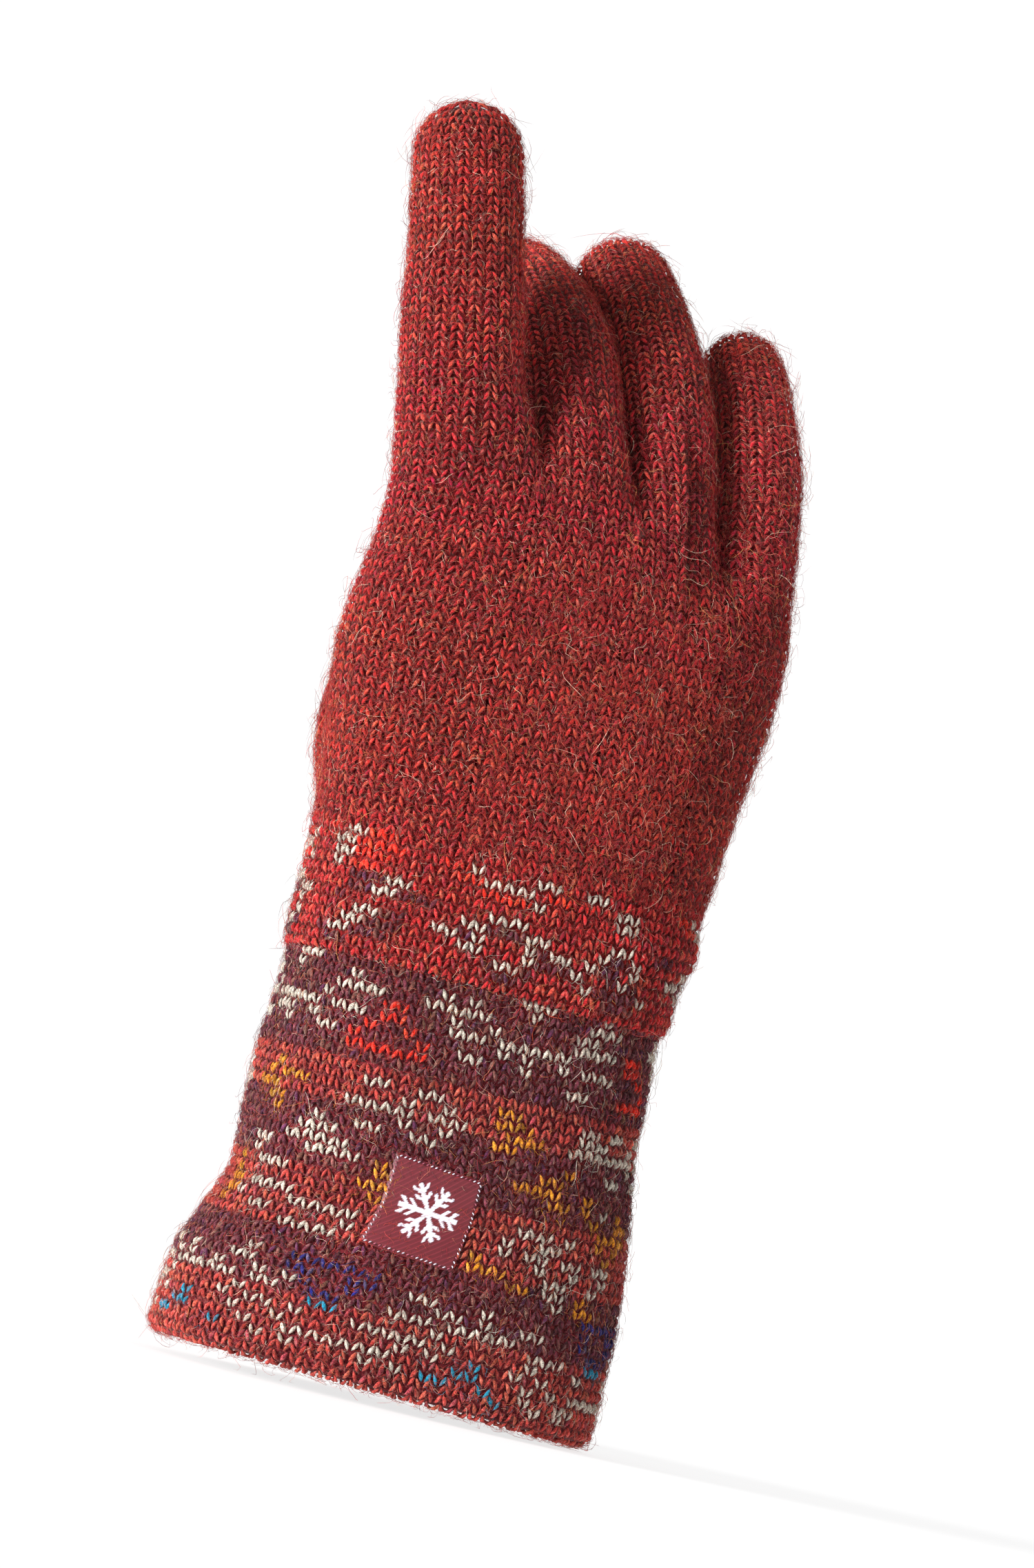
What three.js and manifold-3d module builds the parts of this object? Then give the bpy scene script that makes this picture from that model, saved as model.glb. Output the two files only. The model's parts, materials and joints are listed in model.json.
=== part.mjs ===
// A right-hand knitted wool glove in the shape it takes when it is worn: four fingers and a thumb, a plain
// hand, and a patterned cuff of two layers with a turned hem, a soft fold at the wrist and a woven label.
// Units are millimetres. +Z runs up from the hem to the fingers, -Y is the back of the hand, +Y is the palm,
// -X is the thumb side. The origin is the middle of the cuff's opening, in the plane of the hem.
import * as THREE from "three";
import { mergeVertices } from "three/addons/utils/BufferGeometryUtils.js";
import Module from "manifold-3d";

const wasm = await Module();
wasm.setup();

// ---------------------------------------------------------------- driving dimensions

const KNIT = 2.4; // thickness of one layer of knitting
const GAP = 0.3; // clearance between neighbouring pieces
const HEM_TOP = 5; // height of the turned edge of the cuff
const FACING_TOP = 66; // where the inner layer of the cuff ends
const SEAM_HEIGHT = 2.6; // thickness of the linking row that sews the inner layer down
const CUFF_TOP = 88; // where the outer layer of the cuff ends, inside the fold
const FOLD_Z = 84; // where the hand's knitting folds down over the cuff
const FOLD_OVERHANG = 1.6; // how far the fold stands outside the cuff
const BAND_TOP = 104; // top of the patterned band above the fold
const CROTCH_Z = 184; // height at which the fingers part
const SQUARENESS = 2.3; // exponent of the section: 2 is an ellipse
const AROUND = 36; // facets round the hand and the cuff
const AROUND_FINGER = 16; // facets round a finger

// Half width, half depth and sideways middle of the outside, from the hem to where the fingers part.
const STATIONS = [
  { z: 0, a: 45.2, b: 34.0, x: -0.8 },
  { z: 20, a: 44.3, b: 33.0, x: 0 },
  { z: 38, a: 39.9, b: 30.4, x: 2.2 },
  { z: 60, a: 38.6, b: 29.4, x: 0.9 },
  { z: 84, a: 37.3, b: 28.6, x: 0.6 },
  { z: 104, a: 39.6, b: 27.0, x: 1.2 },
  { z: 124, a: 41.9, b: 24.0, x: 1.4 },
  { z: 146, a: 45.2, b: 20.4, x: 1.5 },
  { z: 164, a: 44.8, b: 17.8, x: 2.8 },
  { z: 178, a: 43.6, b: 15.4, x: 2.0 },
];

// Each finger: where it leaves the hand, its sideways lean, the bends at rest, its lengths and its radii.
// bends are degrees from straight up after the root, the root joint, the middle joint and the end joint.
const FINGERS = {
  index: {
    root: [-28.8, 0.5, 178], lean: -9.6, bends: [3, 6, 8, 12],
    lengths: [17, 24, 15, 11.5], radius: [12.0, 10.5], flex: [-12, 55], curl: [-8, 60],
  },
  middle: {
    root: [-5.2, 0.5, 176], lean: -1.7, bends: [14, 42, 62, 76],
    lengths: [17, 23.5, 19.5, 17], radius: [10.5, 9.6], flex: [-42, 22], curl: [-20, 46],
  },
  ring: {
    root: [17.3, 0.5, 171], lean: -3.5, bends: [14, 36, 52, 62],
    lengths: [18, 24.5, 20.5, 17], radius: [10.2, 9.6], flex: [-40, 24], curl: [-16, 50],
  },
  little: {
    root: [37.2, 0.5, 167], lean: -0.8, bends: [12, 30, 44, 54],
    lengths: [18, 19.5, 13, 11], radius: [8.6, 7.9], flex: [-30, 34], curl: [-16, 50],
  },
};

// The thumb lies across the palm: the points its middle line passes, and its radii.
const THUMB = {
  points: [[-20.5, 0, 111], [-23, 26, 125], [-18, 39.5, 142], [-10.5, 47.5, 158]],
  radius: [12.0, 11.0], spread: [-6, 24], curl: [-15, 35],
};

const LABEL = { x: -8.2, z: 38, width: 17.6, height: 18.6, thick: 0.7, stitch: 0.9 };

const COLOURS = {
  red: 0x9c2a2c, plum: 0x57232e, ecru: 0xc9c1b2, label: 0x7a1f2a, thread: 0xd8d0cc,
};

// ---------------------------------------------------------------- solids and meshes

const group = new THREE.Group();

function toSolid(geometry) {
  const bare = geometry.clone();
  bare.deleteAttribute("normal");
  bare.deleteAttribute("uv");
  const merged = mergeVertices(bare, 1e-4);
  return new wasm.Manifold(
    new wasm.Mesh({
      numProp: 3,
      vertProperties: merged.attributes.position.array,
      triVerts: new Uint32Array(merged.index.array),
    }),
  );
}

function toGeometry(solid) {
  const { vertProperties, triVerts } = solid.getMesh();
  const geometry = new THREE.BufferGeometry();
  geometry.setAttribute("position", new THREE.BufferAttribute(vertProperties, 3));
  geometry.setIndex(new THREE.BufferAttribute(triVerts, 1));
  geometry.computeVertexNormals();
  return geometry;
}

function addPiece(name, solid, colour, roughness = 0.95) {
  const material = new THREE.MeshStandardMaterial({ color: colour, roughness, metalness: 0 });
  const mesh = new THREE.Mesh(toGeometry(solid), material);
  mesh.name = name;
  group.add(mesh);
  return mesh;
}

function box(low, high) {
  const size = high.map((v, i) => v - low[i]);
  const geometry = new THREE.BoxGeometry(...size);
  geometry.translate(...low.map((v, i) => v + size[i] / 2));
  return toSolid(geometry);
}

// ---------------------------------------------------------------- the tube of the hand and cuff

// Half width, half depth and sideways middle at height z, in straight lines between the stations.
function sectionAt(z) {
  const last = STATIONS.length - 1;
  const at = STATIONS.findIndex((s) => s.z > z);
  const i = z <= STATIONS[0].z ? 0 : at < 0 ? last - 1 : at - 1;
  const from = STATIONS[i];
  const to = STATIONS[i + 1];
  const t = THREE.MathUtils.clamp((z - from.z) / (to.z - from.z), 0, 1);
  const between = (key) => THREE.MathUtils.lerp(from[key], to[key], t);
  return { a: between("a"), b: between("b"), x: between("x") };
}

const DRUM = 100; // radius of the lathed ring before it is pressed to the section

// Presses a lathed ring to the glove's section. A profile point is (outset from the surface, height).
function pressedRing(profile) {
  const closed = [...profile, profile[0]].map(([out, z]) => new THREE.Vector2(DRUM + out, z));
  const geometry = new THREE.LatheGeometry(closed, AROUND);
  return pressToSection(geometry, true, 0);
}

// A lathed solid whose radius is a share of the section, with its profile's ends on the axis.
function pressedSolid(profile, outset = 0) {
  const points = profile.map(([share, z]) => new THREE.Vector2(DRUM * share, z));
  return pressToSection(new THREE.LatheGeometry(points, AROUND), false, outset);
}

function pressToSection(geometry, isRing, outset) {
  const place = geometry.attributes.position;
  const rounded = (v) => Math.sign(v) * Math.abs(v) ** (2 / SQUARENESS);
  for (let i = 0; i < place.count; i++) {
    const [x, z, y] = [place.getX(i), place.getY(i), place.getZ(i)];
    const radius = Math.hypot(x, y);
    const angle = Math.atan2(y, x);
    const { a, b, x: middle } = sectionAt(z);
    const out = isRing ? radius - DRUM : outset;
    const share = isRing ? 1 : radius / DRUM;
    place.setXYZ(
      i,
      middle + share * (a + out) * rounded(Math.cos(angle)),
      -share * (b + out) * rounded(Math.sin(angle)),
      z,
    );
  }
  return toSolid(geometry);
}

// A wall of knitting between two heights, its outside set out from the section.
function wall(bottom, top, outset, thick) {
  const between = STATIONS.map((s) => s.z).filter((z) => z > bottom && z < top);
  const heights = [bottom, ...between, top];
  const outside = heights.map((z) => [outset, z]);
  const inside = heights.reverse().map((z) => [outset - thick, z]);
  return pressedRing([...outside, ...inside]);
}

// ---------------------------------------------------------------- digits

const up = new THREE.Vector3(0, 0, 1);
const palmar = new THREE.Vector3(0, 1, 0);

// The middle line of a finger: points, and the vector across it, square to the plane in which it bends.
function fingerLine({ root, lean, bends, lengths }) {
  const side = THREE.MathUtils.degToRad(lean);
  const straight = new THREE.Vector3(Math.sin(side), 0, Math.cos(side));
  const points = [new THREE.Vector3(...root)];
  lengths.forEach((length, i) => {
    const bend = THREE.MathUtils.degToRad(bends[i]);
    const along = straight.clone().multiplyScalar(Math.cos(bend)).addScaledVector(palmar, Math.sin(bend));
    points.push(points.at(-1).clone().addScaledVector(along, length));
  });
  const across = palmar.clone().cross(straight).normalize();
  return { points, across };
}

function thumbLine() {
  const points = THUMB.points.map((p) => new THREE.Vector3(...p));
  const first = points[1].clone().sub(points[0]);
  const last = points.at(-1).clone().sub(points[1]);
  return { points, across: last.cross(first).normalize().negate() };
}

// A round-ended solid of revolution bent along a digit's middle line. inset makes the hollow.
function digitSolid({ points, across }, radius, inset) {
  const curve = new THREE.CatmullRomCurve3(points, false, "centripetal");
  const length = curve.getLength();
  const rootRadius = radius[0] - inset;
  const tipRadius = radius[1] - inset;
  const start = -0.5 * inset;
  const profile = [new THREE.Vector2(0, start), new THREE.Vector2(rootRadius, start)];
  const rings = 8;
  for (let i = 1; i <= rings; i++) {
    const share = i / rings;
    profile.push(new THREE.Vector2(THREE.MathUtils.lerp(rootRadius, tipRadius, share), share * length));
  }
  const arcSteps = 3;
  for (let i = 1; i < arcSteps; i++) {
    const turn = (i / arcSteps) * (Math.PI / 2);
    profile.push(new THREE.Vector2(tipRadius * Math.cos(turn), length + tipRadius * Math.sin(turn)));
  }
  profile.push(new THREE.Vector2(0, length + tipRadius));
  const geometry = new THREE.LatheGeometry(profile, AROUND_FINGER);
  const place = geometry.attributes.position;
  for (let i = 0; i < place.count; i++) {
    const s = place.getY(i);
    const share = THREE.MathUtils.clamp(s / length, 0, 1);
    const tangent = curve.getTangentAt(share);
    const normal = tangent.clone().cross(across);
    const point = curve.getPointAt(share).addScaledVector(tangent, s - share * length);
    point.addScaledVector(across, place.getX(i)).addScaledVector(normal, -place.getZ(i));
    place.setXYZ(i, point.x, point.y, point.z);
  }
  return { solid: toSolid(geometry), curve, length };
}

// The slot between two segments of a digit: it opens as wide as the joint turns, to each side of its axis.
function jointSlot(pivot, tangent, axis, [least, most], radius) {
  const reach = 22;
  const slack = 0.35;
  const halfWidth = radius + 0.4;
  const open = (degrees) => reach * Math.tan(THREE.MathUtils.degToRad(Math.abs(degrees) / 2 + 2));
  const shape = new THREE.Shape([
    new THREE.Vector2(0, slack),
    new THREE.Vector2(-reach, slack + open(least)),
    new THREE.Vector2(-reach, -slack - open(least)),
    new THREE.Vector2(0, -slack),
    new THREE.Vector2(reach, -slack - open(most)),
    new THREE.Vector2(reach, slack + open(most)),
  ]);
  const geometry = new THREE.ExtrudeGeometry(shape, { depth: 2 * halfWidth, bevelEnabled: false });
  geometry.translate(0, 0, -halfWidth);
  const towards = axis.clone().cross(tangent).normalize();
  const basis = new THREE.Matrix4().makeBasis(towards, tangent, towards.clone().cross(tangent));
  geometry.applyMatrix4(basis.setPosition(pivot));
  return toSolid(geometry);
}

// Everything on the far side of a joint from the hand.
function beyond(pivot, tangent, reach = 130) {
  const geometry = new THREE.BoxGeometry(reach, reach, reach);
  geometry.translate(0, 0, reach / 2);
  geometry.applyQuaternion(new THREE.Quaternion().setFromUnitVectors(up, tangent));
  geometry.translate(pivot.x, pivot.y, pivot.z);
  return toSolid(geometry);
}

// The short linked ridge that closes the end of a digit.
function tipClosure({ curve, length }, across, tipRadius) {
  const tangent = curve.getTangentAt(1);
  const end = curve.getPointAt(1).addScaledVector(tangent, tipRadius + GAP + 0.1);
  const profile = [[0, 0], [1, 0], [0.8, 0.55], [0.45, 0.9], [0, 1]];
  const geometry = new THREE.LatheGeometry(profile.map(([r, h]) => new THREE.Vector2(r, h)), 10);
  geometry.scale(4.2, 1.3, 1.5);
  const normal = tangent.clone().cross(across);
  geometry.applyMatrix4(new THREE.Matrix4().makeBasis(across, tangent, normal.negate()).setPosition(end));
  return toSolid(geometry);
}

// ---------------------------------------------------------------- build the digits

const digits = {};

function buildDigit(name, line, spec, rootJoint, endJoint) {
  const outer = digitSolid(line, spec.radius, 0);
  const inner = digitSolid(line, spec.radius, KNIT);
  const shareOf = (point) => {
    const steps = 400;
    let best = 0;
    for (let i = 1; i <= steps; i++) {
      const nearer = outer.curve.getPointAt(i / steps).distanceTo(point);
      const nearest = outer.curve.getPointAt(best / steps).distanceTo(point);
      if (nearer < nearest) best = i;
    }
    return best / steps;
  };
  const joints = [rootJoint, endJoint].map(({ point, range, sideways }) => {
    const tangent = outer.curve.getTangentAt(shareOf(point));
    const flexing = line.across.clone().negate();
    const axis = sideways ? flexing.clone().cross(tangent).normalize() : flexing;
    return { point, tangent, axis, range, slot: jointSlot(point, tangent, axis, range, spec.radius[0]) };
  });
  const [atRoot, atMiddle] = joints;
  const shell = outer.solid.subtract(inner.solid);
  const pastRoot = beyond(atRoot.point, atRoot.tangent);
  const pastMiddle = beyond(atMiddle.point, atMiddle.tangent);
  digits[name] = {
    joints,
    outerStub: outer.solid.subtract(pastRoot),
    innerStub: inner.solid,
    slot: atRoot.slot,
    base: shell.intersect(pastRoot).subtract(pastMiddle).subtract(atRoot.slot).subtract(atMiddle.slot),
    end: shell.intersect(pastMiddle).subtract(atMiddle.slot),
    closure: tipClosure(outer, line.across, spec.radius[1]),
  };
}

for (const [name, spec] of Object.entries(FINGERS)) {
  const line = fingerLine(spec);
  buildDigit(
    name, line, spec,
    { point: line.points[1], range: spec.flex },
    { point: line.points[2], range: spec.curl },
  );
}
const thumb = thumbLine();
buildDigit(
  "thumb", thumb, THUMB,
  { point: thumb.points[1], range: THUMB.spread, sideways: true },
  { point: thumb.points[2], range: THUMB.curl },
);

// ---------------------------------------------------------------- the hand

const handSides = [114, 124, 146, 164].map((z) => [1, z]);
const handOuter = pressedSolid([
  [0, BAND_TOP + GAP], [1, BAND_TOP + GAP], ...handSides,
  [1, 174], [0.93, 179.5], [0.7, CROTCH_Z - 1.2], [0, CROTCH_Z],
]);
const handInner = pressedSolid([
  [0, BAND_TOP - 4], [1, BAND_TOP - 4], ...handSides,
  [0.97, 172], [0.86, 177.5], [0, CROTCH_Z - KNIT],
], -KNIT);
const fingerNames = Object.keys(FINGERS);
let hand = handOuter;
for (const name of fingerNames) hand = hand.add(digits[name].outerStub);
for (const name of fingerNames) hand = hand.subtract(digits[name].slot);
hand = hand.subtract(handInner);
for (const name of fingerNames) hand = hand.subtract(digits[name].innerStub);

// The thumb's gusset passes through the side of the hand with a little clearance.
const gussetHole = digitSolid(thumb, THUMB.radius.map((r) => r + GAP), 0).solid;
hand = hand.subtract(gussetHole.intersect(box([-60, 0, 60], [60, 60, 170])));
const gusset = digits.thumb.outerStub
  .subtract(digits.thumb.slot)
  .subtract(digits.thumb.innerStub)
  .subtract(pressedSolid([[0, 60], [1, 60], [1, 104], [1, 124], [1, 146], [0, 150]], -KNIT + GAP));

addPiece("hand_tube", hand, COLOURS.red);
addPiece("thumb_gusset", gusset, COLOURS.red);
for (const [name, digit] of Object.entries(digits)) {
  addPiece(`${name}_base`, digit.base, COLOURS.red);
  addPiece(`${name}_end`, digit.end, COLOURS.red);
  addPiece(`${name}_tip_closure`, digit.closure, COLOURS.red);
}

// ---------------------------------------------------------------- the cuff

addPiece("cuff_hem", pressedRing([
  [-KNIT - GAP - KNIT + 0.9, 0], [-1, 0], [0, 1.1], [0.2, 3], [0, HEM_TOP],
  [-KNIT * 2 - GAP, HEM_TOP], [-KNIT * 2 - GAP - 0.1, 2.2],
]), COLOURS.red);
addPiece("cuff_outer", wall(HEM_TOP + GAP, CUFF_TOP, 0, KNIT), COLOURS.plum);
addPiece("cuff_facing", wall(HEM_TOP + GAP, FACING_TOP, -KNIT - GAP, KNIT), COLOURS.plum);
addPiece("wrist_seam", wall(FACING_TOP + GAP, FACING_TOP + GAP + SEAM_HEIGHT, -KNIT - GAP, 1.6), COLOURS.red);

// The band's knitting rolls down over the top of the cuff and comes back up inside it.
const lip = FOLD_OVERHANG + KNIT;
const foldInside = CUFF_TOP + GAP;
addPiece("wrist_fold", pressedRing([
  [GAP, FOLD_Z], [FOLD_OVERHANG, FOLD_Z - 2], [lip - 1, FOLD_Z - 0.5], [lip - 0.4, FOLD_Z + 4],
  [FOLD_OVERHANG + 0.6, FOLD_Z + 10], [1, FOLD_Z + 16], [0, BAND_TOP],
  [-KNIT, BAND_TOP], [1 - KNIT, FOLD_Z + 16], [0.4 - KNIT, foldInside + 3],
  [-KNIT, foldInside], [GAP, foldInside],
]), COLOURS.red);

// ---------------------------------------------------------------- the woven label and its stitching

function labelPatch(low, high, outset, thick) {
  return wall(low[1] - 3, high[1] + 3, outset + thick, thick)
    .intersect(box([low[0], -60, low[1]], [high[0], 0, high[1]]));
}

const edge = {
  l: LABEL.x - LABEL.width / 2,
  r: LABEL.x + LABEL.width / 2,
  b: LABEL.z - LABEL.height / 2,
  t: LABEL.z + LABEL.height / 2,
};
const onLabel = GAP + LABEL.thick + GAP;
const inset = 0.4;
addPiece("woven_label", labelPatch([edge.l, edge.b], [edge.r, edge.t], GAP, LABEL.thick), COLOURS.label, 0.6);
const stitchRows = {
  top: [[edge.l + 2, edge.t - inset - LABEL.stitch], [edge.r - 2, edge.t - inset]],
  bottom: [[edge.l + 2, edge.b + inset], [edge.r - 2, edge.b + inset + LABEL.stitch]],
  left: [[edge.l + inset, edge.b + 2], [edge.l + inset + LABEL.stitch, edge.t - 2]],
  right: [[edge.r - inset - LABEL.stitch, edge.b + 2], [edge.r - inset, edge.t - 2]],
};
for (const [side, [low, high]] of Object.entries(stitchRows)) {
  addPiece(`label_stitch_${side}`, labelPatch(low, high, onLabel, 0.5), COLOURS.thread, 0.7);
}

export default group;
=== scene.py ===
"""A worn right-hand wool glove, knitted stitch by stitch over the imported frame. Lengths are in metres."""

import json
import math

import bpy
import numpy as np
from mathutils import Matrix, Vector


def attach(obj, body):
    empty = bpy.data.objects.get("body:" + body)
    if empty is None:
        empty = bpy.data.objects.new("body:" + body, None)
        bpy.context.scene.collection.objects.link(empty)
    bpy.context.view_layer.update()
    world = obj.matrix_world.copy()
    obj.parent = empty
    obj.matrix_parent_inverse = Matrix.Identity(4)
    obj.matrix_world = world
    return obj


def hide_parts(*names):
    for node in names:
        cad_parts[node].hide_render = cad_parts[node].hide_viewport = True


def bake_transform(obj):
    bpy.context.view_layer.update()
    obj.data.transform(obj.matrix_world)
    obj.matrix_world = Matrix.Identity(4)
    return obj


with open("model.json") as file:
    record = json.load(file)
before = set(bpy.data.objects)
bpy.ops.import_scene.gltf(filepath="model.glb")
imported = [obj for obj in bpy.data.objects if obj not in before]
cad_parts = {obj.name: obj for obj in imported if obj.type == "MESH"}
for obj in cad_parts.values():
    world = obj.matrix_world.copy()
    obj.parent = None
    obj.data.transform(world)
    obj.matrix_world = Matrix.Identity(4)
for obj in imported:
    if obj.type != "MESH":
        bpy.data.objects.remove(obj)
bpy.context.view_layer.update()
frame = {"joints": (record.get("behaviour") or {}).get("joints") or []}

rng = np.random.default_rng(7)
MM = 0.001

# ---- driving dimensions

CUFF_COURSE, HAND_COURSE, FINGER_COURSE = 2.2 * MM, 1.95 * MM, 1.78 * MM  # height of one row of stitches
CUFF_WALES = 80  # stitches round the cuff and the band
SQUARENESS = 2.3  # power of the hand's outline: 2 is an ellipse, and more is squarer
FOLD_Z = 85.5 * MM  # where the hand's knitting folds down over the cuff
BAND_TOP = 110 * MM  # top of the coloured band above the fold
CROTCH_Z = 184 * MM  # about where the fingers part
YARN, CUFF_YARN = 0.40 * MM, 0.46 * MM  # radius of the yarn in a stitch's leg
WALL_DEPTH, WALL_THICKNESS = 0.5 * MM, 0.7 * MM  # the ground behind the stitches
SHADE_SHEET_DEPTH = 1.3 * MM  # a dark sheet inside the hand, behind the walls of the fingers' columns; its darkness is painted shade
FACING_DEPTH = 62 * MM  # how far the cuff's inner layer goes up from the hem
SEAM_Z, SEAM_INSET = 63 * MM, 4.9 * MM  # the row that sews the inner layer down
CAMERA_AZIMUTH, CAMERA_ELEVATION, CAMERA_ROLL = -20.0, -1.0, 14.0  # degrees
CAMERA_DISTANCE = 2.6
FRAME_HEIGHT = 0.3117  # what the picture's height spans at the glove

# The hand and cuff from the hem up: height, half width, half depth and sideways middle.
STATIONS = np.array([
    (0, 45.2, 34.0, -0.8), (20, 44.3, 33.0, 0.0), (38, 39.9, 30.4, 2.2), (60, 38.6, 29.4, 0.9),
    (84, 37.3, 28.6, 0.6), (104, 39.6, 27.0, 1.2), (124, 41.9, 24.0, 1.4), (146, 45.2, 20.4, 1.5),
    (164, 44.8, 17.8, 2.8), (178, 43.6, 15.4, 2.0), (200, 42.0, 12.5, 2.0),
]) * MM

# Each finger: root, sideways lean, bends in degrees from straight up, lengths of its stretches, radii at the
# root and the tip, wales on its back, and wales added between it and its neighbours, thumb side first.
FINGERS = {
    "index": dict(root=(-28.8, 0.5, 178), lean=-9.6, bends=(3, 6, 8, 12), lengths=(17, 24, 15, 11.5),
                  radius=(12.0, 10.5), back=10, gussets=(0, 2)),
    "middle": dict(root=(-5.2, 0.5, 176), lean=-1.7, bends=(14, 42, 62, 76), lengths=(17, 23.5, 19.5, 17),
                   radius=(10.5, 9.6), back=8, gussets=(2, 2)),
    "ring": dict(root=(17.3, 0.5, 171), lean=-3.5, bends=(14, 36, 52, 62), lengths=(18, 24.5, 20.5, 17),
                 radius=(10.2, 9.6), back=8, gussets=(2, 2)),
    "little": dict(root=(37.2, 0.5, 167), lean=-0.8, bends=(12, 30, 44, 54), lengths=(18, 19.5, 13, 11),
                   radius=(8.6, 7.9), back=7, gussets=(2, 0)),
}
# Where neighbouring fingers part: across the hand, and height.
CROTCHES = [(-16.4 * MM, 194 * MM), (6.2 * MM, 191 * MM), (27.4 * MM, 180 * MM)]
THUMB = dict(
    points=((-20.5, 0, 111), (-23, 26, 125), (-18, 39.5, 142), (-10.5, 47.5, 158)),
    radius=(12.0, 11.0),
    wales=22,
)

# ---- colours, as linear light


def linear(hex_colour):
    channels = [int(hex_colour[i : i + 2], 16) / 255 for i in (0, 2, 4)]
    return np.array([c / 12.92 if c <= 0.04045 else ((c + 0.055) / 1.055) ** 2.4 for c in channels])


YARNS = {
    "r": linear("a92426"), "b": linear("5c2833"), "e": linear("bbb2a4"), "o": linear("d62a1c"),
    "m": linear("c07a1e"), "n": linear("26255c"), "t": linear("1f7c98"), "s": linear("a63a34"),
}
FUZZ_COLOURS = [linear(c) for c in (
    "c8482c", "b8322c", "ac2838", "84202a", "cc5044", "bc3820", "a02434", "dc8068", "f0c8b0", "e09458",
)]

# ---- the pattern of the cuff

REPEAT = 40
# Knitting charts, from the top row down. Each stripe has its ground yarn.
# A dot is a stitch of the ground.
CUFF_STRIPES = [
    ("b", [
        "ee......eeee.eee..ee..........ee.eee..ee",
        ".eee................eee....e............",
        ".e.....e......e.e....e....eee.....e.e...",
        "......eeee...eeeee.......ee......eeeee..",
        ".....e....oo...e..e......eeee.oo...e..e.",
        "eeeee.eee.oo...eee.eeeeee.....oo...eee.e",
        "ee..e....o..o......e.e..e.eee...o......e",
        ".e...ee.o....o..ee...e...........o..ee..",
        "........oooooo...........ee...oooo......",
        "........................................",
    ]),
    ("s", [
        "........................................",
        "..m.......ee..ee....mm.....ee.ee..ee....",
        ".m.mmm.......e..e...mmm....eee...e..e...",
        "mmm......eeeee.eee...mmm..eeeeeeee.eee..",
    ]),
    ("b", [
        "..mm.........e..e...mm...........e..e...",
        "...m...e..ee..ee..........m...ee..ee....",
        "......eee...............mm..............",
        ".....eeeee............mmmm..m...........",
        "..ee...eeee.m............mm.m.e.m.......",
        "..e.........mm...............m..mm......",
    ]),
    ("s", [
        "m..eee.....mmm................mmmm......",
        "m...........m..........eee.e..m.m.......",
        "mm.eeee...............e..ee....m........",
        "mme....eeeee..........e.ee.ee.ee........",
        "m...ee.....e........m....e..e..e........",
        ".......eeee.........mmm...ee..e.........",
    ]),
    ("b", [
        ".......................mm.ee.m..........",
        "...........................e.mm.........",
        "......e..nnnnnn...............nnnnn.....",
        ".e...ee..nn..nn..ee...e.......n..nn..ee.",
        ".e..e..e.en..n.....ee.e..ee...n..n.....e",
        "eeeeee.ee..nn...eee.eeeee......nn...eee.",
    ]),
    ("s", [
        "......e....tt......e......eee..tt......e",
        ".....e.ee.e...eeeee.e.....e...e...eeeee.",
        "..t...e..e.......e.e..t..e.e.........e.e",
        ".tt....e..eeeeeee....tt...e.e.eeeeeee...",
        "t....t..e.e....e.e.tt..t..e..ee....e.e.t",
        "........................t..e.e..........",
        "........................................",
    ]),
]
BAND_STRIPES = [
    ("r", [
        "..o.eeoo................................",
        "...eeoooo...ooe....ee..ee.......ooe....e",
        "...eeooo.....ooeeee.oo.o..ee.....ooeeee.",
        "...e.oo........ooooe......ee.......ooooe",
        ".....bbbee..............................",
        ".....bbeebbb....eee.......ee..bb....eee.",
        "e...b.........eebbbee....ebbe.....eebbbe",
        "......eebb..eebe...ebee.ebb.e...eebe...e",
        ".....eebbb....ee...ebbbe..beb.....ee...e",
        "...beebbb.......beeb....ebbbbe......beeb",
        "....bb...........bb.......bbb........bb.",
    ]),
]


def chart(stripes):
    """Rows of yarn letters from the bottom up."""
    rows = [row.replace(".", ground) for ground, lines in stripes for row in lines]
    return rows[::-1]


CUFF_CHART, BAND_CHART = chart(CUFF_STRIPES), chart(BAND_STRIPES)


def chart_colours(cells, ground, k, row):
    """The yarn of each stitch, k stitches round from the thumb side."""
    return np.array([YARNS[cells[r][w % REPEAT] if 0 <= r < len(cells) else ground] for r, w in zip(row, k)])


# ---- the surface of the hand and cuff

SECTION_STEP = 2 * MM
SECTION_PARTS = 360  # equal lengths that each section's outline is cut into


def section_tables():
    """Points of the section at each height, evenly spaced along its outline."""
    angles = np.linspace(math.pi, -math.pi, 721)  # from the thumb side, over the back, and round
    heights = np.arange(-2, 111) * SECTION_STEP
    rows = []
    for z in heights:
        a = np.interp(z, STATIONS[:, 0], STATIONS[:, 1])
        b = np.interp(z, STATIONS[:, 0], STATIONS[:, 2])
        power = 2 / SQUARENESS
        middle = np.interp(z, STATIONS[:, 0], STATIONS[:, 3])
        x = middle + a * np.sign(np.cos(angles)) * np.abs(np.cos(angles)) ** power
        y = -b * np.sign(np.sin(angles)) * np.abs(np.sin(angles)) ** power
        walked = np.concatenate([[0], np.cumsum(np.hypot(np.diff(x), np.diff(y)))])
        share = np.linspace(0, walked[-1], SECTION_PARTS + 1)
        rows.append(np.stack([np.interp(share, walked, x), np.interp(share, walked, y)], axis=1))
    return heights, np.array(rows)


SECTION_HEIGHTS, SECTIONS = section_tables()


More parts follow.
